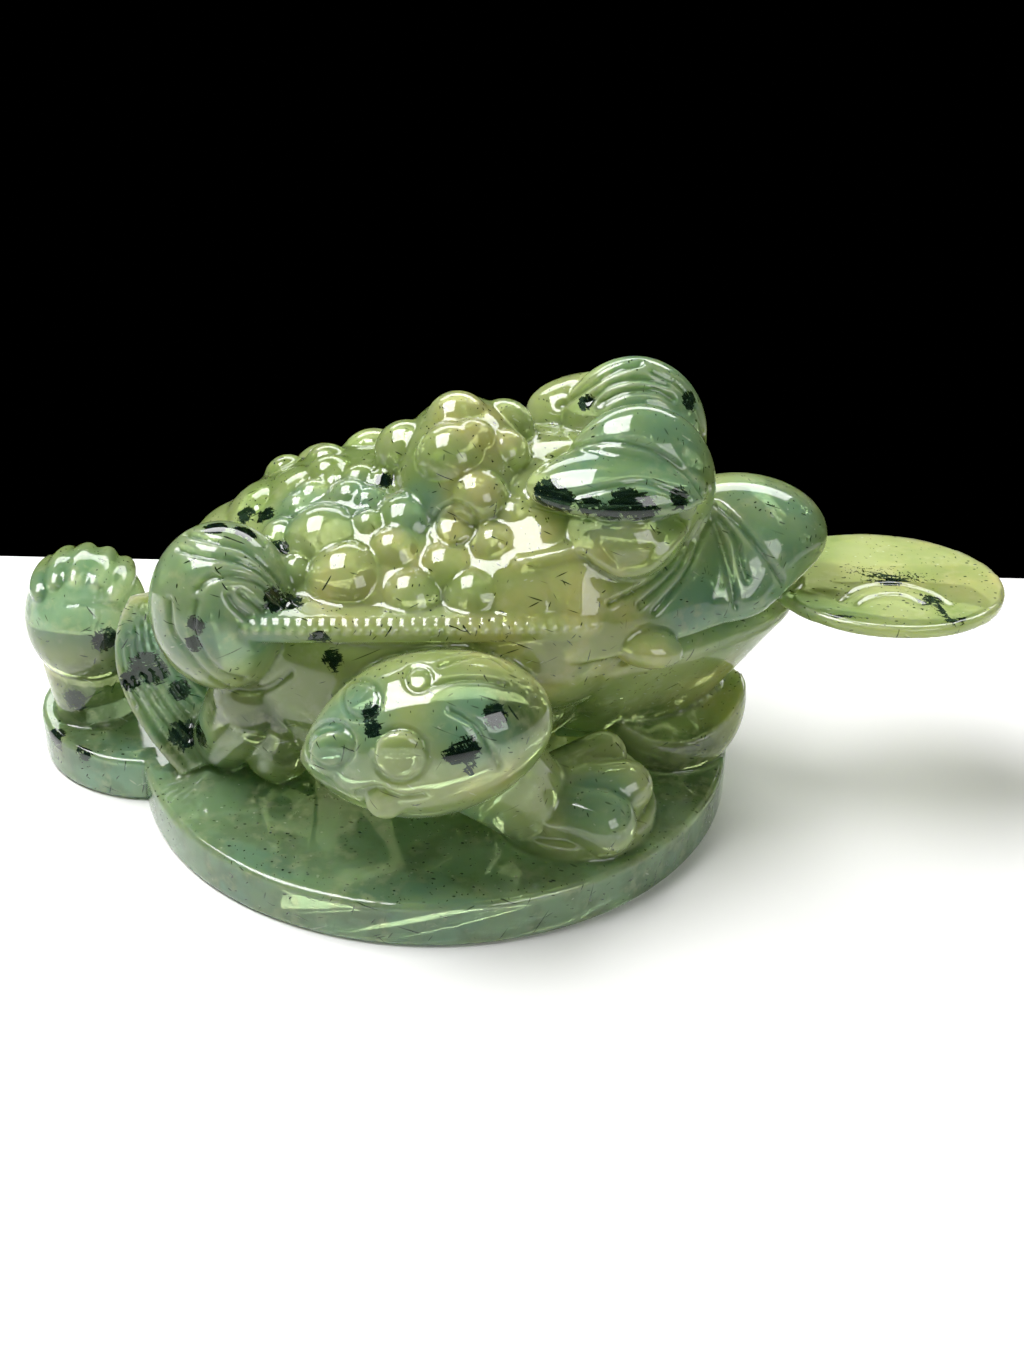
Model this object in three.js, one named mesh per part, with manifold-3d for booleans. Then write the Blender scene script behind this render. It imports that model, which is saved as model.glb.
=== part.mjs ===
// Money toad carved from one block of translucent green stone.
// Millimetres, +Z up. The origin is the centre of the round slab's underside, the head looks
// along +X, and the flank that is carved in full faces -Y.

import * as THREE from 'three';
import Module from 'manifold-3d';
import { ConvexGeometry } from 'three/addons/geometries/ConvexGeometry.js';
import { mergeVertices } from 'three/addons/utils/BufferGeometryUtils.js';

const wasm = await Module();
wasm.setup();

// Driving dimensions: the slab under the toad and its rear lobe
const SLAB_RADIUS = 56;
const SLAB_THICKNESS = 9;
const SLAB_EDGE = 0.8;
const LOBE = { x: -54.6, y: 8, radius: 23 };

// Driving dimensions: body and head, each as the centre and half size of a rounded form.
// A form given once for both sides has its distance from the middle as y.
const TORSO = { centre: [-6, 0, 35], half: [41, 36, 29.5] };
const HUMP = { centre: [5, 0, 60], half: [13, 18, 16] };
const NECK = { centre: [17, 0, 44], half: [25, 34, 23] };
const HEAD = { centre: [26, 0, 44], half: [41, 33, 18.5], narrowing: 0.48, arch: 7 };
const NOSE = { centre: [55, 0, 52.5], half: [16, 14, 9.5] };
const BROW = { centre: [35.5, 10.5, 66], half: [13.5, 9.5, 15] };
const LID = { centre: [31.5, 16.5, 66], half: [15.5, 9.5, 9], below: 0.3 };
const EYE = { centre: [33, 19.5, 59.5], half: [9.5, 8.5, 8.5] };
const JAW = { centre: [28, 0, 38], half: [38, 28, 8], narrowing: 0.42 };
const THROAT = { centre: [32, 0, 25], half: [23, 24, 14] };

// Driving dimensions: the coin in the mouth
const MOUTH_COIN = { centre: [82.6, 0, 42.2], radius: 21.7, thickness: 2.2, roll: -5.2 };

// Driving dimensions: legs and the coins under the forefeet
const ELBOW = { centre: [0, 41, 34], half: [22, 14, 14], tilt: -15 };
const HAUNCH = { centre: [-35.4, 23.5, 48], half: [12.8, 13, 15] };
const LOW_HAUNCH = { centre: [-30, 25, 32], half: [14, 12, 15] };
const FOOT_COIN = { centre: [26, 28], radius: 15, thickness: 4 };

// Driving dimensions: string of coins, tassel, rear knob and ingot
const STRING = { rear: -35, front: 31, out: 37.5, bow: 2.5, height: 49.5, band: 5, pitch: 3 };
const FAR_STRING = { rear: -26, front: 29, out: 38, bow: 3, height: 38, band: 5, pitch: 7 };
const TASSEL = { top: [-50, -12, 44], bend: [-60, -4, 24], foot: [-39.5, -15.5, 11], width: 16 };
const KNOB = { centre: [-66, 3, 30], half: [11.5, 12, 13] };
const INGOT = { centre: [44, -3], half: [15, 14.5], keel: 8.5, deck: 17, upturn: 5.5 };

// Warts of the near flank and back: place along the body, degrees out from the middle of the
// back, and radius
const WARTS = [
  [6, 0, 4.8], [12, -9, 4.4], [3, 15, 5.4], [-5, 2, 5], [9, 26, 4.4], [4, 41, 5.8], [-5, 31, 5.2],
  [-14, 52, 6.4], [-19, 34, 5.6], [-3.5, 58, 5], [8, 58, 4.8], [-13, 15, 4], [-22, 14, 4],
  [-18, -4, 4.4],
];
// Warts of the far side, which is plainer
const FAR_WARTS = [
  [-12, 32, 5], [2, 28, 5], [10, 40, 4.6], [-22, 52, 5], [-4, 50, 5.6], [8, 62, 5], [-14, 66, 5.4],
];
// Overlapping plates down the rump: place along the body, height and half size
const PLATES = [[-19, 60.5, 5.5], [-25.5, 58, 6], [-31.5, 54.5, 7], [-37.5, 49, 8]];
// Flat round spots on the elbow, as a direction from its centre and a radius
const SPOTS = [[-0.09, -0.92, 0.37, 4.6], [-0.6, -0.69, 0.4, 4.6], [-0.32, -0.92, -0.25, 3.4]];

const NEAR = -1;
const FAR = 1;
const EMBED = 0.4;
const radians = THREE.MathUtils.degToRad;
const vector = (x, y, z) => new THREE.Vector3(x, y, z);

// Turns a closed three.js geometry into a solid with its faces pointing out
function solid(geometry) {
  geometry.deleteAttribute('normal');
  geometry.deleteAttribute('uv');
  const merged = mergeVertices(geometry, 1e-4);
  const places = merged.attributes.position;
  const corners = [];
  let volume = 0;
  for (let i = 0; i < merged.index.count; i += 3) {
    const [a, b, c] = [0, 1, 2].map((k) => merged.index.getX(i + k));
    if (a === b || b === c || c === a) continue;
    corners.push([a, b, c]);
    const [p, q, r] = [a, b, c].map((k) => vector(0, 0, 0).fromBufferAttribute(places, k));
    volume += p.dot(q.cross(r));
  }
  const outward = corners.map(([a, b, c]) => (volume < 0 ? [a, c, b] : [a, b, c]));
  return new wasm.Manifold(new wasm.Mesh({
    numProp: 3,
    vertProperties: new Float32Array(places.array),
    triVerts: new Uint32Array(outward.flat()),
  }));
}

// Moves every point of a geometry by a function and makes it a solid
function shaped(geometry, place) {
  const position = geometry.attributes.position;
  for (let i = 0; i < position.count; i += 1) {
    const point = place(vector(0, 0, 0).fromBufferAttribute(position, i));
    position.setXYZ(i, point.x, point.y, point.z);
  }
  return solid(geometry);
}

// A rounded form: a unit sphere whose points are carried to the surface by a function
const rounded = (place, around, rings) => shaped(new THREE.SphereGeometry(1, around, rings), place);

// Carries a direction to the surface of an ellipsoid on one side of the body
const onEllipsoid = ({ centre, half, tilt = 0, below = 1 }, side = NEAR) => (direction) => {
  const height = direction.z < 0 ? direction.z * below : direction.z;
  const point = vector(direction.x * half[0], direction.y * half[1], height * half[2]);
  point.applyAxisAngle(vector(0, 1, 0), radians(tilt));
  return point.add(vector(centre[0], centre[1] * side, centre[2]));
};

// Carries a direction to the surface of the head, which narrows towards the lips and rises
// towards the neck over a flat underside
const onHead = ({ centre, half, narrowing, arch }) => (direction) => {
  const forward = Math.max(0, direction.x);
  const height = direction.z < 0 ? direction.z * 0.2 : direction.z;
  return vector(
    centre[0] + half[0] * direction.x,
    half[1] * direction.y * (1 - narrowing * forward),
    centre[2] + half[2] * height + arch * (1 - forward) ** 2 * Math.max(0, height),
  );
};

// Where a ray from the torso's axis leaves the back, over the torso, hump and neck
function onBack(x, degrees, side) {
  const out = vector(0, Math.sin(radians(degrees)) * side, Math.cos(radians(degrees)));
  let reach = 0;
  for (const { centre, half } of [TORSO, HUMP, NECK]) {
    const slice = 1 - ((x - centre[0]) / half[0]) ** 2;
    const rise = centre[2] - TORSO.centre[2];
    const a = (out.y / half[1]) ** 2 + (out.z / half[2]) ** 2;
    const b = (out.z * rise) / half[2] ** 2;
    const c = (rise / half[2]) ** 2 - slice;
    const root = b * b - a * c;
    if (slice > 0 && root > 0) reach = Math.max(reach, (b + Math.sqrt(root)) / a);
  }
  return { out, point: out.clone().multiplyScalar(reach).add(vector(x, 0, TORSO.centre[2])) };
}

// The convex skin over two round joints, each given as x, y, z and radius
function limb(from, to, side = 1) {
  const points = [];
  for (const [x, y, z, radius] of [from, to]) {
    const ball = new THREE.SphereGeometry(radius, 7, 4).translate(x, y * side, z);
    const places = ball.attributes.position;
    for (let k = 0; k < places.count; k += 1) {
      points.push(vector(0, 0, 0).fromBufferAttribute(places, k));
    }
  }
  return solid(new ConvexGeometry(points));
}

// A round plate lying flat, with a fine edge all round
function plate(radius, thickness, edge, segments) {
  const profile = [
    [0, 0],
    [radius - edge, 0],
    [radius, edge],
    [radius, thickness - edge],
    [radius - edge, thickness],
    [0, thickness],
  ].map(([x, y]) => new THREE.Vector2(x, y));
  return new THREE.LatheGeometry(profile, segments).rotateX(Math.PI / 2);
}

// A thin bar of diamond section swept along points, to cut a groove or to stand as a ridge
function bar(points, width, steps = 6) {
  const section = new THREE.Shape([
    new THREE.Vector2(width / 2, 0),
    new THREE.Vector2(0, width / 2),
    new THREE.Vector2(-width / 2, 0),
    new THREE.Vector2(0, -width / 2),
  ]);
  const extrudePath = new THREE.CatmullRomCurve3(points);
  return solid(new THREE.ExtrudeGeometry(section, { steps, extrudePath, bevelEnabled: false }));
}

// Points on a surface from one direction to another, bowed sideways
function across(place, from, to, bow, count = 6) {
  const start = vector(...from).normalize();
  const end = vector(...to).normalize();
  const sideways = vector(0, 0, 0).crossVectors(start, end);
  return Array.from({ length: count }, (unused, i) => {
    const share = i / (count - 1);
    const direction = start.clone().lerp(end, share);
    direction.addScaledVector(sideways, bow * Math.sin(Math.PI * share));
    return place(direction.normalize());
  });
}

// Points on a surface at a fixed angle from an axis, from one turn to another, in degrees
function ringed(place, axis, opening, from, to, count = 7) {
  const pole = vector(...axis).normalize();
  const east = vector(1, 0, 0).addScaledVector(pole, -pole.x).normalize();
  const north = vector(0, 0, 0).crossVectors(pole, east);
  return Array.from({ length: count }, (unused, i) => {
    const turn = radians(from + ((to - from) * i) / (count - 1));
    const direction = pole.clone().multiplyScalar(Math.cos(radians(opening)));
    direction.addScaledVector(east, Math.sin(radians(opening)) * Math.cos(turn));
    direction.addScaledVector(north, Math.sin(radians(opening)) * Math.sin(turn));
    return place(direction);
  });
}

// The same points on the far side
const mirrored = (points, side) => points.map(({ x, y, z }) => vector(x, -y * side, z));

// The slab: a round plate with a smaller round lobe behind it for the knob
function slab() {
  const main = plate(SLAB_RADIUS, SLAB_THICKNESS, SLAB_EDGE, 48);
  const lobe = plate(LOBE.radius, SLAB_THICKNESS, SLAB_EDGE, 24).translate(LOBE.x, LOBE.y, 0);
  return [solid(main), solid(lobe)];
}

// Body, hump and neck, with the plates down the rump
function body() {
  const parts = [
    rounded(onEllipsoid(TORSO), 16, 10),
    rounded(onEllipsoid(HUMP), 12, 6),
    rounded(onEllipsoid(NECK), 14, 8),
  ];
  for (const [x, height, size] of PLATES) {
    const form = { centre: [x, 0, height], half: [size, size * 1.3, size * 0.6], tilt: -28 };
    parts.push(rounded(onEllipsoid(form), 9, 4));
  }
  return parts;
}

// Round warts over one side of the back
function warts(list, side) {
  return list.map(([x, degrees, radius]) => {
    const { out, point } = onBack(x, degrees, side);
    const centre = point.addScaledVector(out, -radius * EMBED);
    return solid(new THREE.SphereGeometry(radius, 7, 4).translate(centre.x, centre.y, centre.z));
  });
}

// Lower jaw and throat as one convex form under the head, narrowing towards the lips
function jaw() {
  const points = [];
  for (const form of [JAW, THROAT]) {
    const place = onEllipsoid(form);
    const places = new THREE.SphereGeometry(1, 10, 6).attributes.position;
    for (let i = 0; i < places.count; i += 1) {
      const direction = vector(0, 0, 0).fromBufferAttribute(places, i);
      direction.y *= 1 - JAW.narrowing * Math.max(0, direction.x);
      points.push(place(direction));
    }
  }
  return solid(new ConvexGeometry(points));
}

// One side's brow, hooded lid, eyeball and the rim under the eye
function eye(side) {
  const socket = { centre: EYE.centre, half: EYE.half.map((size) => size + 1.2) };
  const rim = ringed(onEllipsoid(socket), [0.1, -1, 0.1], 66, 190, 350);
  return [
    rounded(onEllipsoid(BROW, side), 12, 8),
    rounded(onEllipsoid(LID, side), 12, 6),
    rounded(onEllipsoid(EYE, side), 12, 8),
    bar(mirrored(rim, side), 3, 4),
  ];
}

// Wrinkles that fan out from the inner corner of one eye over the cheek
function wrinkles(side, count) {
  const ends = [
    [0.3, -0.95, 0.12, 0.25],
    [0.45, -0.88, 0.08, 0.14],
    [0.6, -0.78, 0.08, 0.06],
    [0.74, -0.64, 0.1, 0],
  ];
  return ends.slice(0, count).map(([x, y, z, bow]) => {
    const points = across(onHead(HEAD), [0.55, -0.35, 0.76], [x, y, z], bow);
    return bar(mirrored(points, side), 1.8, 3);
  });
}

// Curved grooves on the inner face of one brow
function browGrooves(side) {
  const axis = [0.35, 0.75, 0.1];
  return [42, 60].map((opening) => {
    const points = ringed(onEllipsoid(BROW), axis, opening, -30, -150, 5);
    return bar(mirrored(points, side), 1.8, 4);
  });
}

// The coin held in the mouth, nearly level
function mouthCoin() {
  const { centre, radius, thickness, roll } = MOUTH_COIN;
  const disc = new THREE.CylinderGeometry(radius, radius, thickness, 32).rotateX(Math.PI / 2);
  return solid(disc.rotateX(radians(roll)).translate(...centre));
}

// Foreleg: a leaf-shaped elbow, a short forearm and a foot of three toes
function foreleg(side) {
  const palm = [17, 33, 15, 6];
  const toes = [[31, 38, 14, 6], [35, 31, 17, 5], [31, 24, 19, 4.5]];
  return [
    rounded(onEllipsoid(ELBOW, side), 13, 8),
    limb([6, 37, 30, 11], [17, 34, 17, 8], side),
    ...toes.map((toe) => limb(palm, toe, side)),
  ];
}

// The coins stacked under one forefoot
function footCoins(layers, side) {
  return layers.map((layer) => {
    const { centre, radius, thickness } = FOOT_COIN;
    const coin = new THREE.CylinderGeometry(radius - layer, radius - layer, thickness, 18);
    const height = SLAB_THICKNESS + thickness * (layer + 0.4);
    return solid(coin.rotateX(Math.PI / 2).translate(centre[0] - layer, centre[1] * side, height));
  });
}

// Flat round spots on the near elbow
function spots() {
  return SPOTS.map(([x, y, z, radius]) => {
    const centre = onEllipsoid(ELBOW)(vector(x, y, z).normalize());
    const form = { centre: [centre.x, -centre.y, centre.z - 0.6], half: [radius, 1.8, radius] };
    return rounded(onEllipsoid(form), 7, 4);
  });
}

// Hind leg: the round haunch and the folded foot under it
function hindleg(haunch, side) {
  return [
    rounded(onEllipsoid(haunch, side), 13, 8),
    limb([-30, 22, 30, 9], [-38, 14, 15, 6.5], side),
    limb([-24, 22, 28, 9], [-28, 18, 15, 6.5], side),
  ];
}

// Sweeping grooves round the outer face of the near haunch
function haunchGrooves() {
  return [50, 64].map((opening, i) => {
    const points = ringed(onEllipsoid(HAUNCH), [0.1, -0.9, 0.2], opening, 25 - 8 * i, 215, 7);
    return bar(points, 1.6, 6);
  });
}

// The string of coins seen on edge: a band along one flank whose upper half is ribbed
function string({ rear, front, out, bow, height, band, pitch }, side) {
  const ribs = Math.round((front - rear) / pitch);
  const box = new THREE.BoxGeometry(1, 1, 1, ribs * 2, 1, 1);
  return shaped(box, ({ x, y, z }) => {
    const share = x + 0.5;
    const rib = Math.round(share * ribs * 2) % 2 === 1 && z > 0 ? 0.9 : 0;
    const reach = out - bow * share ** 2 - 0.4 * bow * share;
    const depth = y * side < 0 ? reach - 9 : reach + rib;
    return vector(rear + (front - rear) * share, depth * side, height + band * z);
  });
}

// The last coin of the near string, lying flat against the jaw
function lastCoin() {
  const centre = [STRING.front + 6.5, STRING.out * 0.75, STRING.height - 6];
  return rounded(onEllipsoid({ centre, half: [6, 4, 4.5] }), 9, 4);
}

// The tassel behind the near haunch: a flat grooved lock that widens to a straight end
function tassel() {
  const { top, bend, foot, width } = TASSEL;
  const curve = new THREE.QuadraticBezierCurve3(vector(...top), vector(...bend), vector(...foot));
  const strands = 4;
  return shaped(new THREE.BoxGeometry(1, 1, 1, strands * 2, 1, 4), ({ x, y, z }) => {
    const along = 0.5 - z;
    const ridge = Math.round((x + 0.5) * strands * 2) % 2 === 1 && y < 0 ? 0.9 : 0;
    const spread = width * (0.5 + 0.5 * along);
    const point = curve.getPoint(along);
    const sideways = vector(1, 0.55 * along, 0.25).normalize();
    const outward = vector(-0.25, -0.9, 0.45).normalize();
    return point.addScaledVector(sideways, x * spread).addScaledVector(outward, ridge - 5 * y - 2);
  });
}

// Rear knob, the short lobes over its crest and its neck down to the slab
function knob() {
  const lobes = [-42, -21, 0, 21, 42].map((degrees) => {
    const out = vector(Math.sin(radians(degrees)), 0, Math.cos(radians(degrees)));
    const centre = [KNOB.centre[0] + 10.5 * out.x, KNOB.centre[1] - 1, KNOB.centre[2] + 11 * out.z];
    return rounded(onEllipsoid({ centre, half: [2.8, 8, 2.8] }, 1), 6, 3);
  });
  return [
    rounded(onEllipsoid(KNOB, 1), 12, 8),
    ...lobes,
    limb([-67, 3, 25, 9], [-66, 4, 10, 8]),
  ];
}

// The boat-shaped ingot under the chin: a flared hull whose ends turn up
function ingot() {
  const { centre, half, keel, deck, upturn } = INGOT;
  return shaped(new THREE.CylinderGeometry(1, 1, 1, 20, 3).rotateX(Math.PI / 2), ({ x, y, z }) => {
    const share = z + 0.5;
    const flare = 0.76 + 0.62 * share - 0.42 * share ** 2;
    const height = keel + (deck - keel + upturn * x * x) * share;
    return vector(centre[0] + half[0] * x * flare, centre[1] + half[1] * y * flare, height);
  });
}

const raised = [
  ...slab(),
  ...body(),
  ...warts(WARTS, NEAR),
  ...warts(FAR_WARTS, FAR),
  rounded(onHead(HEAD), 18, 10),
  rounded(onEllipsoid(NOSE), 12, 8),
  jaw(),
  ...eye(NEAR),
  ...eye(FAR),
  mouthCoin(),
  ...foreleg(NEAR),
  ...foreleg(FAR),
  ...footCoins([0, 1], NEAR),
  ...footCoins([0], FAR),
  ...spots(),
  ...hindleg(HAUNCH, NEAR),
  ...hindleg(LOW_HAUNCH, FAR),
  string(STRING, NEAR),
  string(FAR_STRING, FAR),
  lastCoin(),
  tassel(),
  ...knob(),
  ingot(),
];
const sunk = [
  ...wrinkles(NEAR, 4),
  ...wrinkles(FAR, 2),
  ...browGrooves(NEAR),
  ...browGrooves(FAR),
  ...haunchGrooves(),
];
const whole = raised.reduce((rest, part) => rest.add(part));
const carved = sunk.reduce((rest, cut) => rest.subtract(cut), whole);

// The finished carving as one mesh
const { vertProperties, triVerts } = carved.getMesh();
const geometry = new THREE.BufferGeometry();
geometry.setAttribute('position', new THREE.BufferAttribute(new Float32Array(vertProperties), 3));
geometry.setIndex(new THREE.BufferAttribute(new Uint32Array(triVerts), 1));
geometry.computeVertexNormals();
const stone = new THREE.MeshStandardMaterial({ color: 0x9cb86a, roughness: 0.12, metalness: 0 });
const toad = new THREE.Mesh(geometry, stone);
toad.name = 'carved_toad';

const group = new THREE.Group();
group.add(toad);
export default group;
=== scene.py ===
import math
import random

import bmesh
import bpy
import numpy as np
from mathutils import Matrix, Vector
from mathutils.bvhtree import BVHTree


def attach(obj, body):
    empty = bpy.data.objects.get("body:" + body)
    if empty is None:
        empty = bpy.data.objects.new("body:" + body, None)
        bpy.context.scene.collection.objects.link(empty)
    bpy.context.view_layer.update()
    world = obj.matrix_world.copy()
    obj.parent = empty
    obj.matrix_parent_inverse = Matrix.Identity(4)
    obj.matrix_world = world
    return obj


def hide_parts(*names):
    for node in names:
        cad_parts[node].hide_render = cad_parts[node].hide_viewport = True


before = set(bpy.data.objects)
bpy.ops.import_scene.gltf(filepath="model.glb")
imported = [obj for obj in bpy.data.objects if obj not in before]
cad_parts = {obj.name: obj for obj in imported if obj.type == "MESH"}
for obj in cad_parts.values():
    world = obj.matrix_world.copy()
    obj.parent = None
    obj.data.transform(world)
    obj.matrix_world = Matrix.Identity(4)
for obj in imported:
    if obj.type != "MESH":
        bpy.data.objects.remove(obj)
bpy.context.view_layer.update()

# Camera
# A hand-height view from the front of the near flank, looking a third of a right angle down.
# Its place, in millimetres, also tells where a point of the picture lies on the stone.
CAMERA_PLACE = Vector((14.5, -306.7, 212))
CAMERA_DOWN = 32.2
CAMERA_ROLL = 1.26
FOCUS = 1900
PICTURE = (1024, 1365)
MM = 0.001

camera_data = bpy.data.cameras.new("camera")
camera_data.sensor_width = 36
camera_data.lens = FOCUS * camera_data.sensor_width / PICTURE[1]
camera = bpy.data.objects.new("camera", camera_data)
aim = Matrix.Rotation(math.radians(90 - CAMERA_DOWN), 4, "X")
aim @= Matrix.Rotation(math.radians(CAMERA_ROLL), 4, "Z")
camera.matrix_world = Matrix.Translation(CAMERA_PLACE * MM) @ aim
bpy.context.scene.collection.objects.link(camera)
bpy.context.scene.camera = camera

# Slab
# The round plate that the toad squats on, with a smaller round lobe behind it, all cut from
# the same block of stone. Both have a fine polished edge.
SLAB_RADIUS = 56
SLAB_THICKNESS = 9
SLAB_EDGE = 0.8
LOBE = dict(x=-54.6, y=8, radius=23)

stone = bmesh.new()


def join(form):
    """Adds a finished form to the block of stone."""
    mesh = bpy.data.meshes.new("form")
    form.to_mesh(mesh)
    form.free()
    stone.from_mesh(mesh)
    bpy.data.meshes.remove(mesh)


def disc(centre, radius, thickness, edge=0.5, roll=0.0):
    """A round plate with a fine edge, lying flat unless it is rolled about the X axis."""
    form = bmesh.new()
    bmesh.ops.create_cone(
        form, cap_ends=True, segments=160, radius1=radius, radius2=radius, depth=thickness
    )
    rims = [line for line in form.edges if abs(line.verts[0].co.z - line.verts[1].co.z) < 1e-4]
    bmesh.ops.bevel(
        form, geom=rims, offset=edge, affect="EDGES", segments=2, profile=0.5, material=-1
    )
    turn = Matrix.Translation(centre) @ Matrix.Rotation(math.radians(roll), 4, "X")
    bmesh.ops.transform(form, matrix=turn, verts=form.verts)
    join(form)


disc((0, 0, SLAB_THICKNESS / 2), SLAB_RADIUS, SLAB_THICKNESS, SLAB_EDGE)
disc((LOBE["x"], LOBE["y"], SLAB_THICKNESS / 2), LOBE["radius"], SLAB_THICKNESS, SLAB_EDGE)

# Body
# The squat body of the toad: a broad torso, a hump over the shoulders and a thick neck, with
# overlapping plates down the rump. The forms run into one another, as carved stone does.
NEAR = -1
FAR = 1
TORSO = dict(centre=(-6, 0, 35), half=(41, 36, 29.5))
HUMP = dict(centre=(5, 0, 60), half=(13, 18, 16))
NECK = dict(centre=(17, 0, 44), half=(25, 34, 23))
PLATES = [(-19, 60.5, 5.5), (-25.5, 58, 6), (-31.5, 54.5, 7), (-37.5, 49, 8)]


def ball(place, around=72, rings=44):
    """A rounded form: a unit sphere whose points are carried to the surface by a function."""
    form = bmesh.new()
    bmesh.ops.create_uvsphere(form, u_segments=around, v_segments=rings, radius=1)
    for vert in form.verts:
        vert.co = place(vert.co.normalized())
    join(form)


def ellipsoid(centre, half, side=NEAR, tilt=0.0, below=1.0, point=0.0):
    """Carries a direction to an ellipsoid on one side of the body. Its underside may be
    flattened, and its rear end may be drawn to a point."""
    lean = Matrix.Rotation(math.radians(tilt), 3, "Y")

    def place(direction):
        x, y, z = direction
        z *= below if z < 0 else 1
        thin = (1 - min(1, x * x)) ** point if x < 0 and point else 1
        spot = lean @ Vector((x * half[0], y * half[1] * thin, z * half[2] * thin))
        return spot + Vector((centre[0], centre[1] * side, centre[2]))

    return place


for form in (TORSO, HUMP, NECK):
    ball(ellipsoid(**form), 128, 80)
for x, height, size in PLATES:
    ball(ellipsoid((x, 0, height), (size, size * 1.3, size * 0.6), tilt=-28))

# Warts
# Round warts over the back and the near flank, nearly touching, each a polished dome. The far
# side has fewer. Each is set by its place along the body, its degrees out from the middle of
# the back and its radius where it meets the skin. Its centre lies SUNK of a ball's radius in.
SUNK = 0.62
WARTS = [
    (3.3, 14, 5), (4, 0, 4.6), (12, -8, 4.4), (6.8, 10, 3), (-5, 0, 4.6), (8, 25, 4.2),
    (4.2, 36, 5.2), (-4.3, 29.5, 5), (-13.9, 52, 5.8), (-18.4, 36, 5.8), (-2.9, 57.5, 4.5),
    (8, 57, 4.6), (3, 48, 4.8), (-6, 42, 4), (-21, 13, 3), (-18.8, -3, 3.8), (-14.4, 17, 3.2),
    (-11, 21, 2.8), (-23.3, 19, 2.8), (-10.5, 32, 2.8), (-13, 7, 3.2), (-9, 10, 2.8),
    (-23, 50, 3.4), (-12.5, 66, 2.8), (14.5, 30, 3.4), (-26, 33, 3), (12.5, 9, 3.4),
    (16.5, 17, 3.2), (11, 40, 3.2), (19, 2, 3.4),
]
FAR_WARTS = [
    (-12, 32, 5.2), (2, 28, 5), (10, 40, 4.6), (-22, 52, 5), (-4, 50, 5.6), (8, 62, 5),
    (-14, 66, 5.4), (-5, 16, 3.4), (-20, 20, 3.6), (-28, 34, 3.6), (-10, 52, 3.2), (3, 44, 3.2),
]


def on_back(x, degrees, side):
    """Where a ray from the torso's axis leaves the back, and which way it points."""
    out = Vector((0, math.sin(math.radians(degrees)) * side, math.cos(math.radians(degrees))))
    reach = 0
    for form in (TORSO, HUMP, NECK):
        centre, half = form["centre"], form["half"]
        piece = 1 - ((x - centre[0]) / half[0]) ** 2
        rise = centre[2] - TORSO["centre"][2]
        a = (out.y / half[1]) ** 2 + (out.z / half[2]) ** 2
        b = out.z * rise / half[2] ** 2
        root = b * b - a * ((rise / half[2]) ** 2 - piece)
        if piece > 0 and root > 0:
            reach = max(reach, (b + math.sqrt(root)) / a)
    return Vector((x, 0, TORSO["centre"][2])) + out * reach, out


for side, warts in ((NEAR, WARTS), (FAR, FAR_WARTS)):
    for x, degrees, radius in warts:
        skin, out = on_back(x, degrees, side)
        full = radius / math.sqrt(1 - SUNK ** 2)
        ball(ellipsoid(skin - out * full * SUNK, (full,) * 3, FAR), 48, 28)

# Head
# A wide flat head that narrows to blunt lips, with a rounded snout and a deep lower jaw under
# it. The mouth is carved shut round the coin.
HEAD = dict(centre=(26, 0, 44), half=(41, 33, 18.5), narrowing=0.48, arch=7)
NOSE = dict(centre=(55, 0, 52.5), half=(16, 14, 9.5))
JAW = dict(centre=(28, 0, 38), half=(38, 28, 8))
THROAT = dict(centre=(32, 0, 25), half=(23, 15, 14))
LIP = dict(centre=(49, 12.5, 47), half=(12, 7, 5.5))
JAW_NARROWING = 0.42


def on_head(direction):
    """Carries a direction to the head, which rises towards the neck over a flat underside."""
    centre, half = HEAD["centre"], HEAD["half"]
    forward = max(0, direction.x)
    height = direction.z * (0.2 if direction.z < 0 else 1)
    return Vector((
        centre[0] + half[0] * direction.x,
        half[1] * direction.y * (1 - HEAD["narrowing"] * forward),
        centre[2] + half[2] * height + HEAD["arch"] * (1 - forward) ** 2 * max(0, height),
    ))


def hull(places, around=40, rings=24):
    """The tight skin over several rounded forms."""
    form = bmesh.new()
    for place in places:
        made = bmesh.ops.create_uvsphere(form, u_segments=around, v_segments=rings, radius=1)
        for vert in made["verts"]:
            vert.co = place(vert.co.normalized())
    skin = bmesh.ops.convex_hull(form, input=form.verts)
    inner = {item for key in ("geom_interior", "geom_unused") for item in skin[key]}
    bmesh.ops.delete(
        form, geom=[item for item in inner if isinstance(item, bmesh.types.BMVert)], context="VERTS"
    )
    join(form)


def narrowed(place):
    """The same form, pinched towards the lips."""
    def carry(direction):
        pinch = 1 - JAW_NARROWING * max(0, direction.x)
        return place(Vector((direction.x, direction.y * pinch, direction.z)))

    return carry


ball(on_head, 128, 80)
hull([ellipsoid(**NOSE), ellipsoid(**LIP), ellipsoid(side=FAR, **LIP)], 64, 40)
hull([narrowed(ellipsoid(**JAW)), narrowed(ellipsoid(**THROAT))], 64, 40)

# Eyes
# Each eye has a tall smooth brow, a heavy lid under it with a sharp lower edge, and a round
# eyeball below, in a socket with a raised rim.
BROW = dict(centre=(35.5, 10.5, 66), half=(13.5, 9.5, 15))
LID = dict(centre=(31.5, 16.5, 68), half=(15.5, 9.5, 7), below=0.25)
EYE = dict(centre=(33, 19.5, 61.5), half=(10, 8.5, 7.5))

for side in (NEAR, FAR):
    for form in (BROW, LID, EYE):
        ball(ellipsoid(side=side, **form), 96, 60)

# Mouth coin
# A plain round coin carved in place between the lips, thin enough for light to pass.
COIN = dict(centre=(82.6, 0, 42.2), radius=21.7, thickness=2.2, roll=-5.2)

disc(edge=0.35, **COIN)

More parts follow.
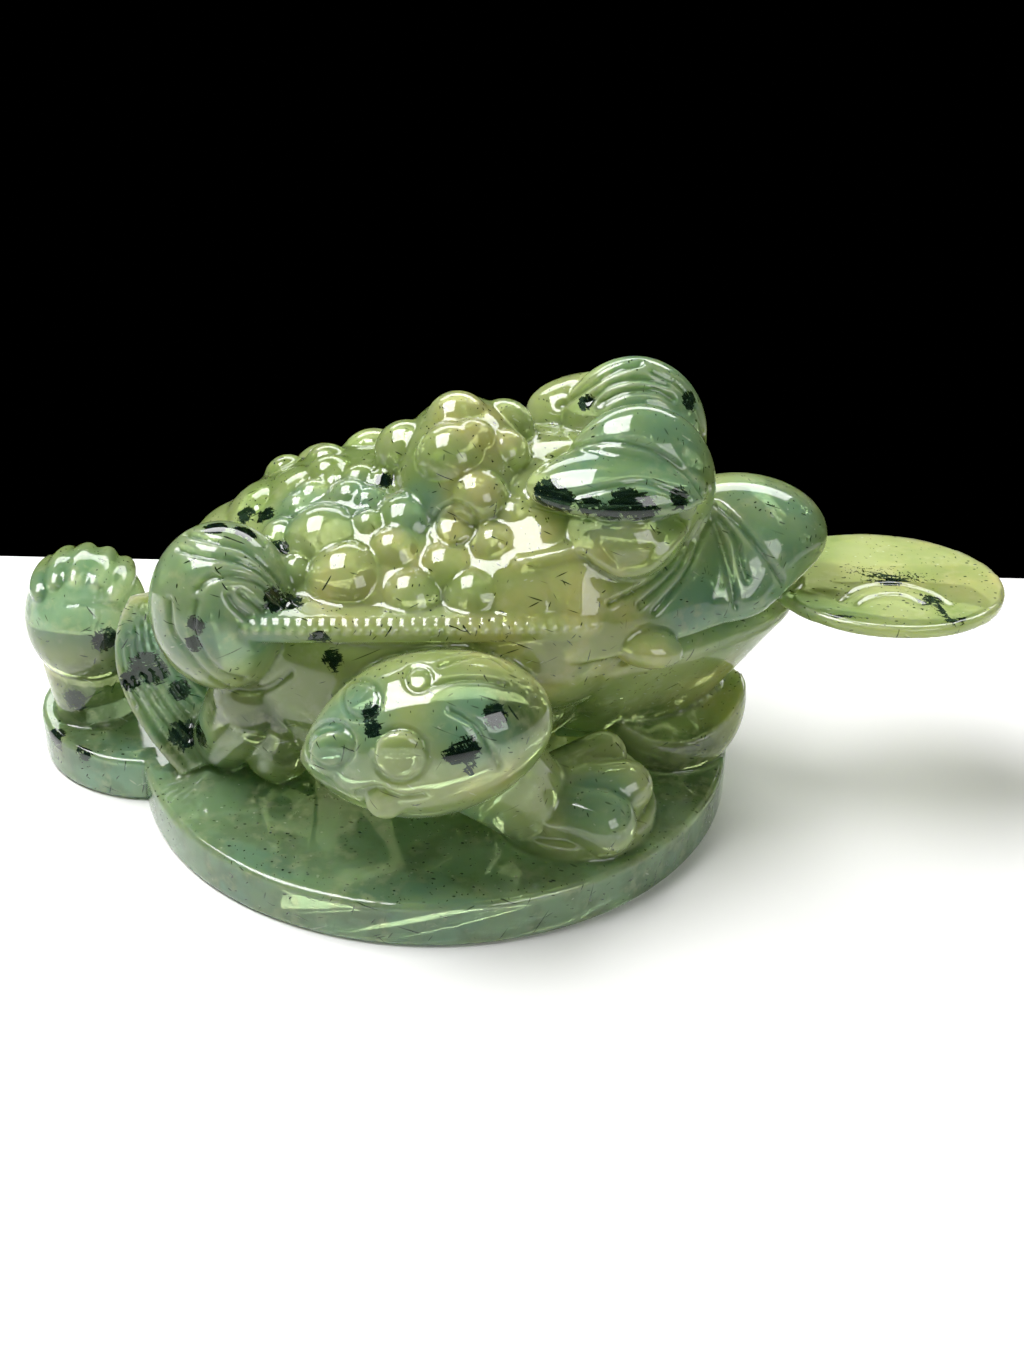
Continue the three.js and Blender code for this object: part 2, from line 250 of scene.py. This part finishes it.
# Forelegs
# A leaf-shaped elbow bulges from each shoulder, and a short forearm ends in a foot of three
# toes, set on a stack of coins.
ELBOW = dict(centre=(0, 41, 34), half=(22, 14, 14), tilt=-15, point=0.28)
FOREARM = [(6, 37, 30, 11), (17, 34, 17, 8)]
PALM = (17, 33, 15, 6)
TOES = [(31, 38, 14, 6), (35, 31, 17, 5), (31, 24, 19, 4.5)]
FOOT_COIN = dict(centre=(26, 28), radius=15, thickness=4)
SPOTS = [(-0.09, -0.92, 0.37, 4.6), (-0.6, -0.69, 0.4, 4.6), (-0.32, -0.92, -0.25, 3.4)]


def limb(start, end, side):
    """The tight skin over two round joints, each given as its centre and radius."""
    hull([ellipsoid((x, y, z), (radius,) * 3, side) for x, y, z, radius in (start, end)])


for side, layers in ((NEAR, 2), (FAR, 1)):
    ball(ellipsoid(side=side, **ELBOW), 96, 60)
    limb(*FOREARM, side)
    for toe in TOES:
        limb(PALM, toe, side)
    for layer in range(layers):
        x, y = FOOT_COIN["centre"]
        height = SLAB_THICKNESS + FOOT_COIN["thickness"] * (layer + 0.4)
        disc((x - layer, y * side, height), FOOT_COIN["radius"] - layer, FOOT_COIN["thickness"])
for x, y, z, radius in SPOTS:
    skin = ellipsoid(**ELBOW)(Vector((x, y, z)).normalized())
    ball(ellipsoid(skin + Vector((0, 0.8, -0.6)), (radius, 1.8, radius), FAR), 48, 28)

# Hind legs
# A round haunch over a folded foot on each side. The near one stands higher, up to the rump.
HAUNCHES = {
    NEAR: dict(centre=(-35.4, 23.5, 48), half=(12.8, 13, 15)),
    FAR: dict(centre=(-30, 25, 32), half=(14, 12, 15)),
}
SHANKS = [((-30, 22, 30, 9), (-38, 14, 15, 6.5)), ((-24, 22, 28, 9), (-28, 18, 15, 6.5))]

for side, haunch in HAUNCHES.items():
    ball(ellipsoid(side=side, **haunch), 96, 60)
    for start, end in SHANKS:
        limb(start, end, side)

# Strings of coins
# A string of coins seen on edge runs along each flank as a raised band, ribbed over its upper
# half. Its last coin lies flat against the near side of the jaw.
STRINGS = {
    NEAR: dict(rear=-35, front=31, out=36, bow=2.5, height=49.5, band=5, pitch=1.9),
    FAR: dict(rear=-26, front=29, out=38, bow=3, height=38, band=5, pitch=2),
}
STRING_DEPTH = 9
RIB = 0.7


def block(place, cuts):
    """A closed form whose points are carried from a unit cube, cut along its three edges."""
    form = bmesh.new()
    bmesh.ops.create_cube(form, size=1)
    for axis, count in enumerate(cuts):
        lines = [e for e in form.edges if abs((e.verts[0].co - e.verts[1].co)[axis]) > 0.9]
        if count:
            bmesh.ops.subdivide_edges(form, edges=lines, cuts=count, use_grid_fill=True)
    for vert in form.verts:
        vert.co = place(vert.co.copy())
    join(form)


def on_string(spec, side):
    """Carries a unit cube to the band along one flank."""
    def place(point):
        share = point.x + 0.5
        reach = spec["out"] - spec["bow"] * (share ** 2 + 0.4 * share)
        length = spec["front"] - spec["rear"]
        along = share * length / spec["pitch"]
        ribbed = RIB * (0.5 - 0.5 * math.cos(math.tau * along)) if point.z > 0 else 0
        rounding = 2.2 * abs(2 * point.z) ** 3 + 4 * abs(2 * point.x) ** 16
        depth = reach - STRING_DEPTH if point.y * side < 0 else reach + ribbed - rounding
        return Vector((
            spec["rear"] + length * share, depth * side, spec["height"] + spec["band"] * point.z
        ))

    return place


for side, spec in STRINGS.items():
    ribs = round((spec["front"] - spec["rear"]) / spec["pitch"])
    block(on_string(spec, side), (ribs * 6 - 1, 0, 7))
near_string = STRINGS[NEAR]
last_coin = (near_string["front"] + 6.5, near_string["out"] * 0.75, near_string["height"] - 6)
ball(ellipsoid(last_coin, (6.4, 4.2, 3.4), tilt=8))

# Tassel
# A flat lock of cord, carved in long grooves, hangs behind the near haunch and widens to a
# straight end on the slab.
TASSEL = dict(top=(-50, -12, 44), bend=(-60, -4, 24), foot=(-39.5, -15.5, 11), width=16)
STRANDS = 7


def on_tassel(point):
    """Carries a unit cube to the tassel, along a curve from its top to its foot."""
    along = 0.5 - point.z
    top, bend, foot = (Vector(TASSEL[key]) for key in ("top", "bend", "foot"))
    middle = top.lerp(bend, along).lerp(bend.lerp(foot, along), along)
    sideways = Vector((1, 0.55 * along, 0.25)).normalized()
    outward = Vector((-0.25, -0.9, 0.45)).normalized()
    spread = TASSEL["width"] * (0.5 + 0.5 * along)
    wave = 0.5 - 0.5 * math.cos(math.tau * STRANDS * (point.x + 0.5))
    ridge = 0.9 * wave if point.y < 0 else 0
    return middle + sideways * point.x * spread + outward * (ridge - 5 * point.y - 2)


block(on_tassel, (STRANDS * 6 - 1, 0, 23))

# Rear knob
# A rounded knob on a short neck behind the haunch, on the slab's lobe, with a crest of short
# lobes over its top.
KNOB = dict(centre=(-66, 3, 30), half=(11.5, 12, 13))
KNOB_NECK = [(-67, 3, 25, 9), (-66, 4, 10, 8)]
CREST = (-42, -21, 0, 21, 42)

ball(ellipsoid(side=FAR, **KNOB), 96, 60)
limb(*KNOB_NECK, FAR)
for degrees in CREST:
    lean = math.radians(degrees)
    x, y, z = KNOB["centre"]
    ball(ellipsoid((x + 10 * math.sin(lean), y, z + 10.6 * math.cos(lean)), (2.9, 8, 2.6), FAR))

# Ingot
# A boat-shaped ingot lies under the chin: a flared hull whose two ends turn up.
INGOT = dict(centre=(44, -3), half=(15, 14.5), keel=8.5, deck=17, upturn=5.5)

ingot = bmesh.new()
bmesh.ops.create_cone(ingot, cap_ends=True, segments=96, radius1=1, radius2=1, depth=1)
walls = [line for line in ingot.edges if abs(line.verts[0].co.z - line.verts[1].co.z) > 0.5]
bmesh.ops.subdivide_edges(ingot, edges=walls, cuts=11)
lids = [face for face in ingot.faces if len(face.verts) > 4]
bmesh.ops.poke(ingot, faces=lids)
for _ in range(3):
    spokes = [e for e in ingot.edges if abs(e.verts[0].co.xy.length - e.verts[1].co.xy.length) > 0.1]
    bmesh.ops.subdivide_edges(ingot, edges=spokes, cuts=1)
for vert in ingot.verts:
    x, y, z = vert.co
    share = z + 0.5
    flare = 0.76 + 0.62 * share - 0.42 * share ** 2
    rise = INGOT["deck"] - INGOT["keel"] + INGOT["upturn"] * x * x
    vert.co = (
        INGOT["centre"][0] + INGOT["half"][0] * x * flare,
        INGOT["centre"][1] + INGOT["half"][1] * y * flare,
        INGOT["keel"] + rise * share,
    )
join(ingot)

# One block
# All the forms above are one solid in the real carving, so they are fused into one skin, and
# the skin is smoothed as a polishing wheel leaves it.
VOXEL = 0.5
POLISH = 3

mesh = bpy.data.meshes.new("stone_toad")
stone.to_mesh(mesh)
stone.free()
toad = bpy.data.objects.new("stone_toad", mesh)
bpy.context.scene.collection.objects.link(toad)


def settle(kind, **settings):
    """Applies one modifier to the toad's mesh."""
    modifier = toad.modifiers.new("work", kind)
    for name, value in settings.items():
        setattr(modifier, name, value)
    bpy.context.view_layer.update()
    old = toad.data
    toad.data = bpy.data.meshes.new_from_object(
        toad.evaluated_get(bpy.context.evaluated_depsgraph_get())
    )
    toad.modifiers.clear()
    bpy.data.meshes.remove(old)


settle("REMESH", mode="VOXEL", voxel_size=VOXEL)
settle("SMOOTH", factor=0.5, iterations=POLISH)

# Carved lines
# The lines that the carver cut or left standing: the fan of wrinkles over the cheek, the folds
# of the brow and haunch, and the rings round warts and spots. Each is drawn where it shows in
# the picture and is carried to the skin, and the skin sinks or rises beside it.
LINES = {
    "cheek": (0.55, 0.9, [
        [(712, 518), (700, 545), (686, 575), (655, 612)],
        [(706, 520), (692, 545), (676, 572), (640, 606)],
        [(700, 522), (682, 552), (655, 580), (610, 604)],
        [(714, 520), (724, 552), (732, 585), (736, 607)],
        [(718, 515), (736, 540), (742, 565), (747, 580)],
        [(716, 503), (740, 525), (765, 555), (783, 581)],
    ]),
    "eyelid": (0.5, 0.6, [
        [(532, 505), (570, 514), (598, 519)],
        [(575, 495), (610, 487), (640, 482), (668, 490), (690, 500)],
        [(540, 470), (565, 450), (605, 441), (650, 449), (685, 472), (706, 498)],
    ]),
    "lower lid": (1.3, -1.0, [
        [(520, 563), (556, 556), (585, 549), (602, 561), (622, 571), (648, 566), (668, 548),
         (684, 528)],
    ]),
    "brow": (0.7, 0.8, [
        [(560, 405), (590, 385), (615, 370), (640, 363)],
        [(590, 400), (610, 384), (640, 378), (668, 384)],
        [(600, 402), (625, 391), (655, 390), (672, 398)],
        [(655, 372), (680, 385), (700, 412), (707, 440)],
    ]),
    "haunch": (0.6, 0.7, [
        [(186, 533), (215, 541), (245, 549), (270, 570), (287, 592)],
        [(178, 548), (205, 556), (235, 560), (262, 573), (282, 598)],
        [(196, 590), (210, 578), (235, 576), (262, 585), (288, 606)],
        [(228, 595), (236, 607), (247, 616)],
        [(241, 594), (252, 602), (264, 611)],
        [(168, 600), (172, 630), (189, 656), (212, 680), (240, 691), (268, 688), (290, 672)],
        [(196, 600), (192, 630), (203, 655), (222, 674), (245, 680)],
    ]),
    "elbow": (0.5, 0.6, [
        [(440, 665), (465, 657), (490, 657), (510, 669)],
        [(427, 687), (455, 680), (485, 680), (507, 685)],
        [(450, 710), (475, 725), (490, 748), (500, 766)],
        [(355, 793), (378, 788), (402, 797), (425, 795)],
    ]),
    "knob": (0.5, 0.4, [
        [(66, 604), (95, 603), (122, 608)],
    ]),
    "coin": (0.5, 0.25, [
        [(842, 602), (862, 588), (895, 584), (928, 592), (950, 606)],
        [(858, 606), (874, 597), (900, 595), (922, 604)],
    ]),
}
RINGS = [
    (455, 524, 21), (400, 755, 27), (330, 745, 23), (361, 699, 19), (418, 679, 13),
]


def picture_ray(u, v):
    """The way that the camera looks through a point of the picture."""
    ray = Vector(((u - PICTURE[0] / 2) / FOCUS, (PICTURE[1] / 2 - v) / FOCUS, -1))
    return (aim.to_3x3() @ ray).normalized()


def read(mesh, kind="co"):
    """A mesh's points or normals as an array."""
    values = np.empty(len(mesh.vertices) * 3, np.float32)
    (mesh.vertices if kind == "co" else mesh.vertex_normals).foreach_get(
        "co" if kind == "co" else "vector", values
    )
    return values.reshape(-1, 3)


skin = BVHTree.FromPolygons(
    [vert.co for vert in toad.data.vertices], [face.vertices for face in toad.data.polygons]
)


def shown(u, v):
    """The point of the skin that shows at a point of the picture."""
    return skin.ray_cast(CAMERA_PLACE, picture_ray(u, v))[0]


def curved(points, per_span=24):
    """A smooth line through points of the picture, as many closely spaced ones."""
    ends = [2 * np.subtract(points[0], 0) - points[1], *points, 2 * np.subtract(points[-1], 0) - points[-2]]
    ends = np.array(ends, float)
    line = []
    for a, b, c, d in zip(ends, ends[1:], ends[2:], ends[3:]):
        for share in np.linspace(0, 1, per_span, endpoint=False):
            line.append(0.5 * (
                2 * b + (c - a) * share + (2 * a - 5 * b + 4 * c - d) * share ** 2
                + (3 * b - a - 3 * c + d) * share ** 3
            ))
    return line + [ends[-2]]


def carve(line, width, depth):
    """Sinks the skin beside a line of the picture, or raises it where the depth is negative."""
    spots = [shown(u, v) for u, v in line]
    spots = np.array([spot for spot in spots if spot], np.float32)
    low, high = spots.min(0) - 3 * width, spots.max(0) + 3 * width
    beside = np.flatnonzero(np.all((places > low) & (places < high), axis=1))
    gaps = np.linalg.norm(places[beside][:, None] - spots[None], axis=2).min(axis=1)
    sunk = depth * np.exp(-((gaps / width) ** 2))
    sinks[beside] = np.where(abs(sunk) > abs(sinks[beside]), sunk, sinks[beside])


places = read(toad.data)
normals = read(toad.data, "normal")
sinks = np.zeros(len(places), np.float32)
for width, depth, lines in LINES.values():
    for points in lines:
        carve(curved(points), width, depth)
for u, v, radius in RINGS:
    turns = np.linspace(0, math.tau, 90)
    carve([(u + radius * math.cos(t), v + radius * math.sin(t)) for t in turns], 0.45, 0.5)
places -= normals * sinks[:, None]
toad.data.vertices.foreach_set("co", places.ravel())
toad.data.update()

# Tints, painted shade and inclusions
# The stone is clouded from yellow-green to blue-green, and black needles lie in it in sprays
# and thick mats. Its low parts are darkened by painted shade. Each tint or patch of painted
# shade is a soft zone about a point that shows in the picture, with its radius in millimetres,
# and is kept on the skin as an attribute.
SKIN_FACES = 190000
ZONES = {
    "cool": [
        (190, 600, 13), (230, 560, 11), (240, 620, 9), (320, 745, 9), (352, 720, 7),
        (480, 730, 8), (640, 430, 12), (620, 470, 11), (680, 480, 6), (660, 385, 11),
        (770, 520, 12), (750, 590, 12), (690, 610, 9), (90, 590, 10), (50, 600, 8),
        (175, 720, 14), (140, 640, 8), (350, 500, 6), (415, 508, 5), (300, 510, 6),
        (230, 850, 16), (690, 850, 12), (430, 880, 16), (600, 800, 7), (100, 760, 12),
    ],
    "warm": [
        (470, 490, 5), (455, 540, 7), (345, 590, 7), (400, 550, 6), (540, 540, 8),
        (620, 545, 6), (520, 660, 12), (640, 650, 10), (900, 560, 12), (980, 580, 8),
        (490, 770, 6), (700, 690, 8), (48, 670, 4), (560, 610, 9), (480, 420, 8),
    ],
    # painted shade in the low parts, under the head, legs, knob and ingot
    "deep": [
        (240, 725, 9), (100, 690, 9), (280, 740, 8), (90, 730, 8), (680, 740, 9),
        (640, 720, 8), (330, 830, 12), (690, 780, 10), (190, 740, 6), (560, 720, 8),
        (520, 700, 5),
    ],
    "mat": [
        (545, 492, 3.2), (560, 500, 3), (590, 505, 2.4), (625, 503, 3.4), (645, 508, 3),
        (610, 512, 2.4), (680, 498, 2.4), (370, 712, 2.2), (372, 728, 2), (495, 715, 2.6),
        (468, 750, 2.8), (452, 755, 2), (245, 515, 2.4), (265, 515, 2.4), (275, 600, 3),
        (290, 602, 3), (195, 625, 2), (193, 645, 2), (145, 665, 3.4), (155, 672, 3),
        (130, 680, 2.4), (185, 735, 3.6), (200, 735, 3), (280, 550, 2.4), (320, 640, 2.4),
        (333, 660, 2.4), (245, 532, 2.6), (215, 527, 2.6), (820, 625, 4), (840, 612, 3),
        (890, 580, 3), (950, 618, 3), (975, 600, 2.4), (105, 640, 3), (75, 700, 3.2),
        (55, 740, 3), (85, 750, 2.4), (385, 480, 2), (470, 770, 1.4), (335, 855, 4),
        (180, 690, 2.4), (930, 600, 3), (700, 395, 3), (690, 400, 2.4), (585, 402, 2),
    ],
}

faces = sum(len(face.vertices) - 2 for face in toad.data.polygons)
settle("DECIMATE", ratio=min(1, SKIN_FACES / faces))
places = read(toad.data)
for name, zones in ZONES.items():
    shares = np.zeros(len(places), np.float32)
    for u, v, radius in zones:
        spot = shown(u, v)
        if spot:
            gaps = np.linalg.norm(places - np.array(spot, np.float32), axis=1) / radius
            shares = np.maximum(shares, np.clip(1.5 - gaps, 0, 1))
    layer = toad.data.attributes.new(name, "FLOAT", "POINT")
    layer.data.foreach_set("value", shares * shares * (3 - 2 * shares))

# How sharply the skin bends at each point: above 0 in a hollow and below 0 on a rim. The
# hollows are given painted shade and the rims a painted highlight.
lines = np.empty(len(toad.data.edges) * 2, np.int32)
toad.data.edges.foreach_get("vertices", lines)
first, second = lines.reshape(-1, 2).T
normals = read(toad.data, "normal")
spans = places[second] - places[first]
lengths = np.linalg.norm(spans, axis=1) + 1e-6
bend = np.zeros(len(places), np.float32)
share = np.zeros(len(places), np.float32)
np.add.at(bend, first, (spans * normals[first]).sum(axis=1) / lengths ** 2)
np.add.at(bend, second, -(spans * normals[second]).sum(axis=1) / lengths ** 2)
np.add.at(share, first, 1)
np.add.at(share, second, 1)
bend /= np.maximum(share, 1)
for _ in range(2):
    total = bend.copy()
    np.add.at(total, first, bend[second])
    np.add.at(total, second, bend[first])
    bend = total / (share + 1)
for name, sign in (("crease", 1), ("ridge", -1)):
    layer = toad.data.attributes.new(name, "FLOAT", "POINT")
    layer.data.foreach_set("value", np.clip(sign * bend * 2.5, 0, 1).astype(np.float32))

toad.data.transform(Matrix.Scale(MM, 4))
toad.data.polygons.foreach_set("use_smooth", [True] * len(toad.data.polygons))


class Wire:
    """One output of a material's node. Python's operators on it add Math nodes."""

    def __init__(self, shader, socket):
        self.shader = shader
        self.socket = socket

    def maths(self, operation, first, second):
        return self.shader.node("Math", {"operation": operation}, {0: first, 1: second})

    def __add__(self, other):
        return self.maths("ADD", self, other)

    def __sub__(self, other):
        return self.maths("SUBTRACT", self, other)

    def __rsub__(self, other):
        return self.maths("SUBTRACT", other, self)

    def __mul__(self, other):
        return self.maths("MULTIPLY", self, other)

    def __or__(self, other):
        return self.maths("MAXIMUM", self, other)

    __radd__ = __add__
    __rmul__ = __mul__


class Shader:
    """A new material whose nodes are added by one method."""

    def __init__(self, name):
        self.material = bpy.data.materials.new(name)
        self.material.use_nodes = True
        self.tree = self.material.node_tree
        self.tree.nodes.clear()

    def node(self, kind, settings=None, inputs=None, output=0):
        made = self.tree.nodes.new("ShaderNode" + kind)
        for name, value in (settings or {}).items():
            if name == "stops":
                ramp = made.color_ramp.elements
                while len(ramp) < len(value):
                    ramp.new(0.5)
                for stop, (place, colour) in zip(ramp, value):
                    stop.position = place
                    stop.color = colour
            else:
                setattr(made, name, value)
        for name, value in (inputs or {}).items():
            if isinstance(value, Wire):
                self.tree.links.new(value.socket, made.inputs[name])
            else:
                made.inputs[name].default_value = value
        return Wire(self, made.outputs[output]) if len(made.outputs) else None

    def step(self, value, low, high, smooth=True):
        """0 below low and 1 above high."""
        kind = "SMOOTHSTEP" if smooth else "LINEAR"
        return self.node(
            "MapRange",
            {"interpolation_type": kind},
            {"Value": value, "From Min": low, "From Max": high},
        )

    def mix(self, share, first, second):
        """A blend of two colours."""
        return self.node(
            "Mix", {"data_type": "RGBA"}, {0: share, 6: first, 7: second}, 2
        )


green = Shader("prehnite")
place = green.node("TexCoord", output=3)


def noise(scale, detail=3.0, rough=0.5, vector=place):
    return green.node(
        "TexNoise", None,
        {"Vector": vector, "Scale": scale, "Detail": detail, "Roughness": rough}, 0,
    )


def zone(name):
    """A zone of the skin kept as an attribute: a tint, painted shade, a painted highlight or a mat of
    needles.
    """
    return green.node("Attribute", {"attribute_name": name}, None, 2)


def lying(direction, along, deep, across, seed=0):
    """Coordinates drawn out one way through the stone, in millimetres."""
    turn = Vector(direction).to_track_quat("X", "Z").to_euler()
    return green.node(
        "Mapping", {"vector_type": "TEXTURE"},
        {"Vector": place, "Rotation": tuple(turn), "Location": (seed * 0.013, 0.004 * seed, 0),
         "Scale": (along * MM, deep * MM, across * MM)},
    )


def needles(direction, thick, seed, along=30, deep=2.6, across=1.15):
    """Thin dark needles lying one way in the stone."""
    gap = green.node(
        "TexVoronoi", {"feature": "F1"},
        {"Vector": lying(direction, along, deep, across, seed), "Scale": 1.0}, 0,
    )
    return 1 - green.step(gap, thick * 0.6, thick)


height = green.node("SeparateXYZ", None, {"Vector": place}, 2)
slab = 1 - green.step(height, 8.6 * MM, 10 * MM)
cloud = green.step(noise(42.0), 0.38, 0.62)
mottle = green.step(noise(160.0, 4.0), 0.4, 0.62)
grain = green.step(noise(420.0, 3.0), 0.45, 0.7)
colour = green.mix(cloud, (0.36, 0.49, 0.16, 1), (0.54, 0.63, 0.27, 1))
colour = green.mix(zone("warm") * (0.4 + mottle * 0.5), colour, (0.70, 0.67, 0.26, 1))
cool = zone("cool") * (0.5 + green.step(noise(75.0), 0.3, 0.6) * 0.45) | slab * 0.7
colour = green.mix(cool, colour, (0.22, 0.43, 0.29, 1))
# painted shade: the low parts under the head, legs, knob and ingot turn dark olive, and the slab darkens in
# mottled patches
deep = zone("deep") * (0.5 + mottle * 0.4) | slab * mottle * 0.4
colour = green.mix(deep, colour, (0.10, 0.15, 0.045, 1))
# painted shade darkens the hollows where forms meet and round the warts
colour = green.mix(zone("crease") * 0.5, colour, (0.15, 0.23, 0.07, 1))
# a painted highlight lightens the rims of warts and folds, standing in for bright refracted edges
colour = green.mix(zone("ridge") * 0.5, colour, (0.82, 0.88, 0.62, 1))
colour = green.mix(grain * mottle * 0.35, colour, (0.74, 0.78, 0.48, 1))

# fine pale veils, and the needles in sprays and mats
veil = needles((0.7, 0.2, -0.6), 0.09, 21, 40, 3, 2)
veil = veil | needles((0.9, -0.3, 0.5), 0.08, 22, 40, 3, 2)
colour = green.mix(veil * 0.5, colour, (0.85, 0.92, 0.72, 1))
dark = needles((0.9, 0.1, 0.4), 0.11, 1)
WAYS = [(0.5, 0.2, 0.85), (-0.6, 0.3, 0.75), (1, -0.3, -0.25), (-0.9, 0.1, 0.3), (0.2, 0.1, 1)]
for seed, direction in enumerate(WAYS):
    dark = dark | needles(direction, 0.11, seed + 2)
sprays = green.step(noise(80.0), 0.3, 0.55)
mats = zone("mat")
threads = noise(1.0, 3.0, 0.6, lying((0.95, 0.1, 0.2), 3.6, 1.0, 0.4))
threads = threads | noise(1.0, 3.0, 0.6, lying((0.5, 0.1, -0.8), 3.6, 1.0, 0.4, 3))
matted = green.step(mats * 0.56 + threads, 0.95, 1.0)
dark = dark * sprays | matted
colour = green.mix(dark, colour, (0.008, 0.02, 0.016, 1))

surface = green.node(
    "BsdfPrincipled", {"subsurface_method": "RANDOM_WALK"},
    {
        "Base Color": colour, "Roughness": 0.04, "IOR": 1.62, "Subsurface Weight": 1.0,
        "Subsurface Radius": (1.0, 1.0, 0.5), "Subsurface Scale": 0.006,
        "Transmission Weight": 0.6,
    },
)
green.node("OutputMaterial", None, {"Surface": surface})
toad.data.materials.append(green.material)
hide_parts("carved_toad")
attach(toad, "root")

# Sealed needles
# Thin dark needles of another mineral, grown inside the clear stone and sealed in it. They lie
# at all depths under the skin and show through it.
NEEDLES = 900
chance = random.Random(11)
inner = BVHTree.FromPolygons(
    [vert.co for vert in toad.data.vertices], [face.vertices for face in toad.data.polygons]
)
spray = bmesh.new()
made = 0
while made < NEEDLES:
    vert = toad.data.vertices[chance.randrange(len(toad.data.vertices))]
    out = vert.normal
    middle = vert.co - out * chance.uniform(0.5, 3.5) * MM
    way = Vector([chance.gauss(0, 1) for _ in range(3)]).normalized()
    way = (way - out * way.dot(out) * 0.8).normalized()
    reach = chance.uniform(0.8, 3.6) * MM
    ends = [middle + way * reach, middle - way * reach]
    if made % 3 == 0:
        ends = [middle + way * reach * 0.4, middle - way * reach * 0.4]
    nearest = [inner.find_nearest(end) for end in (*ends, middle)]
    made += 1
    if any((end - spot).dot(face) > -0.0002 for end, (spot, face, _, _) in zip((*ends, middle), nearest)):
        continue
    thick = chance.uniform(0.05, 0.11) * MM
    lie = Matrix.Translation(middle) @ way.to_track_quat("Z", "X").to_matrix().to_4x4()
    lie @= Matrix.Diagonal((thick, thick, (ends[0] - middle).length, 1))
    bmesh.ops.create_icosphere(spray, subdivisions=1, radius=1, matrix=lie)
mesh = bpy.data.meshes.new("sealed_needles")
spray.to_mesh(mesh)
spray.free()
needle_piece = bpy.data.objects.new("sealed_needles", mesh)
bpy.context.scene.collection.objects.link(needle_piece)
black = Shader("needle_mineral")
tone = black.node("TexNoise", None, {"Vector": black.node("TexCoord", output=3), "Scale": 300.0}, 0)
black.node("OutputMaterial", None, {"Surface": black.node(
    "BsdfPrincipled", None,
    {"Base Color": black.mix(tone, (0.004, 0.012, 0.01, 1), (0.015, 0.045, 0.03, 1)),
     "Roughness": 0.35})})
mesh.materials.append(black.material)
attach(needle_piece, "root")

# Floor and light
bpy.ops.mesh.primitive_plane_add(size=1)
floor = bpy.context.object
floor.name = "floor"
floor.data.transform(Matrix.Translation((0, 0.08 - 0.6, 0)) @ Matrix.Diagonal((3, 1.2, 1, 1)))
white = Shader("pale_floor")
white.node("OutputMaterial", None, {"Surface": white.node(
    "BsdfPrincipled", None, {"Base Color": (0.9, 0.9, 0.89, 1), "Roughness": 0.6})})
floor.data.materials.append(white.material)


def lamp(name, size, energy, spot, towards=(0, 0, 0.04)):
    data = bpy.data.lights.new(name, "AREA")
    data.shape = "RECTANGLE"
    data.size, data.size_y = size
    data.energy = energy
    thing = bpy.data.objects.new(name, data)
    way = Vector(towards) - Vector(spot)
    thing.matrix_world = Matrix.Translation(spot) @ way.to_track_quat("-Z", "Y").to_matrix().to_4x4()
    bpy.context.scene.collection.objects.link(thing)


lamp("window", (0.6, 0.45), 10, (-0.32, 0.05, 0.72))
lamp("front", (0.5, 0.5), 3, (0.55, -0.7, 0.5))
lamp("back", (0.9, 0.2), 3, (0.0, 0.6, 0.45))
world = bpy.data.worlds.new("dark")
world.use_nodes = True
world.node_tree.nodes["Background"].inputs["Color"].default_value = (0.0, 0.0, 0.0, 1)
bpy.context.scene.world = world
bpy.context.scene.view_settings.view_transform = "Standard"
